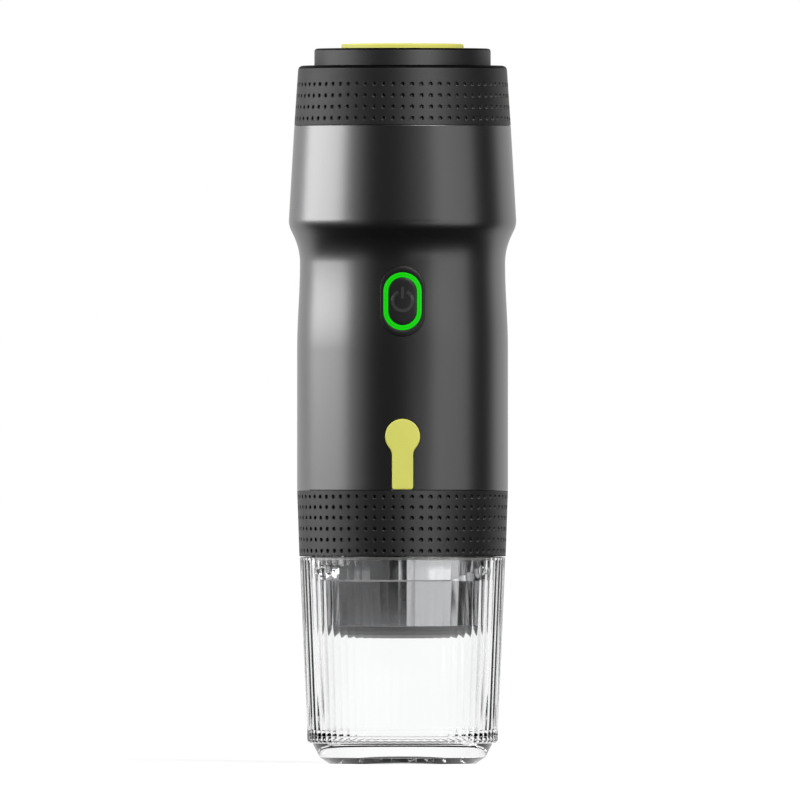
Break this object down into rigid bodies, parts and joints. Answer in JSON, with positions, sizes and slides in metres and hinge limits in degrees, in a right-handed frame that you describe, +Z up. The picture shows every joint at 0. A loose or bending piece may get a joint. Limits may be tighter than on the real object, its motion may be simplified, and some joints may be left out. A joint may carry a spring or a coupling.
{
  "type": "portable capsule coffee maker",
  "caption": "Upright battery coffee maker: screw-off lid over a water tank, pump body with button and port plug, twist-off capsule brew head, and a clear ribbed cup as its foot.",
  "frame": {"origin": "Centre of the cup's foot, on the floor", "axes": "+Z is up the maker's axis to the lid, -Y is the front with the button and the charging port, +X is to the viewer's right of the front view"},
  "size_m": [0.0758, 0.0758, 0.24],
  "materials": {
    "clear_cup": "clear ribbed copolyester",
    "seal_clear": "milky silicone seal",
    "ring_black": "black moulded plastic",
    "grip_rubber": "black rubber with rows of small dimples",
    "holder_black": "charcoal moulded plastic",
    "basket_steel": "drawn stainless steel",
    "spike_steel": "polished stainless steel",
    "dark_silicone": "dark soft silicone",
    "seal_red": "red-brown food-grade seal",
    "base_black": "black moulded plastic",
    "screw_steel": "zinc-plated steel",
    "hose_silicone": "milky silicone hose",
    "heater_alloy": "cast aluminium",
    "fuse_tan": "glazed ceramic",
    "frame_grey": "dark grey moulded plastic",
    "cell_blue": "blue film wrap on a cell can",
    "tab_nickel": "nickel strip",
    "board_green": "green solder mask",
    "chip_black": "black component mould",
    "socket_steel": "plated steel shell",
    "motor_steel": "plated motor can",
    "pump_white": "white moulded plastic",
    "pump_black": "black moulded plastic",
    "body_black": "satin black paint over plastic",
    "bezel_black": "glossy black",
    "light_green": "lit green light guide",
    "yellow_silicone": "matte yellow silicone",
    "tank_smoke": "smoke-clear plastic",
    "disc_black": "satin black plastic"
  },
  "bodies": {
    "body": {"base_plate": "base_black", "spike_plate": "spike_steel", "spike_seal": "seal_red", "spike_screws": "screw_steel", "heater_hose": "hose_silicone", "heater_block": "heater_alloy", "thermal_fuse": "fuse_tan", "inner_frame": "frame_grey", "frame_screws": "screw_steel", "battery_cell_1": "cell_blue", "battery_cell_2": "cell_blue", "battery_cell_3": "cell_blue", "battery_tabs": "tab_nickel", "main_board": "board_green", "board_parts": "chip_black", "tact_switch": "chip_black", "usb_socket": "socket_steel", "pump_motor": "motor_steel", "pump_housing": "pump_black", "swing_yoke": "pump_white", "pump_diaphragm": "dark_silicone", "pump_valve_plate": "pump_white", "pump_cover": "pump_black", "pump_screws": "screw_steel", "outlet_elbow": "pump_black", "pump_hose": "hose_silicone", "tank_hose": "hose_silicone", "body_shell": "body_black", "button_frame": "bezel_black", "light_ring": "light_green", "plug_anchor": "yellow_silicone", "water_tank": "tank_smoke", "tank_neck": "tank_smoke", "tank_strainer": "spike_steel"},
    "lid_seal": {"lid_gasket": "seal_clear"},
    "lid": {"lid_ring": "ring_black", "lid_sleeve": "grip_rubber", "lid_plug": "pump_white", "vent_valve": "dark_silicone", "lid_screws": "screw_steel", "lid_disc": "disc_black", "lid_pad": "yellow_silicone"},
    "brew_seal": {"basket_gasket": "seal_red"},
    "brew_head": {"brew_ring": "ring_black", "brew_sleeve": "grip_rubber", "brew_shell": "holder_black", "capsule_basket": "basket_steel", "pierce_plate": "spike_steel", "outlet_nozzle": "dark_silicone"},
    "cup_seal": {"cup_gasket": "seal_clear"},
    "cup": {"cup": "clear_cup"},
    "key": {"power_key": "bezel_black"},
    "plug": {"port_plug": "yellow_silicone"},
    "rotor": {"motor_shaft": "screw_steel", "pump_eccentric": "pump_white"}
  },
  "joints": [
    {"name": "lid_lift", "type": "slide", "parent": "body", "child": "lid_seal", "axis": [0, 0, 1], "range_m": [0, 0.01]},
    {"name": "lid_twist", "type": "hinge", "parent": "lid_seal", "child": "lid", "pos_m": [0, 0, 0.2222], "axis": [0, 0, 1], "range_deg": [0, 720]},
    {"name": "brew_drop", "type": "slide", "parent": "body", "child": "brew_seal", "axis": [0, 0, -1], "range_m": [0, 0.012]},
    {"name": "brew_twist", "type": "hinge", "parent": "brew_seal", "child": "brew_head", "pos_m": [0, 0, 0.08], "axis": [0, 0, -1], "range_deg": [0, 540]},
    {"name": "cup_drop", "type": "slide", "parent": "brew_head", "child": "cup_seal", "axis": [0, 0, -1], "range_m": [0, 0.03]},
    {"name": "cup_twist", "type": "hinge", "parent": "cup_seal", "child": "cup", "pos_m": [0, 0, 0.06], "axis": [0, 0, -1], "range_deg": [0, 180]},
    {"name": "key_press", "type": "slide", "parent": "body", "child": "key", "axis": [0, 1, 0], "range_m": [0, 0.0005], "stiffness_N_per_m": 800, "springref_m": -0.0004},
    {"name": "plug_open", "type": "hinge", "parent": "body", "child": "plug", "pos_m": [0, -0.0353, 0.0948], "axis": [1, 0, 0], "range_deg": [0, 120]},
    {"name": "shaft_spin", "type": "hinge", "parent": "body", "child": "rotor", "pos_m": [0, 0.0186, 0.14], "axis": [0, 0, 1], "continuous": true}
  ],
  "couplings": [
    {"joint": "lid_lift", "follows": "lid_twist", "m_per_rad": 0.00079577},
    {"joint": "brew_drop", "follows": "brew_twist", "m_per_rad": 0.0012732},
    {"joint": "cup_drop", "follows": "cup_twist", "m_per_rad": 0.0095493}
  ]
}
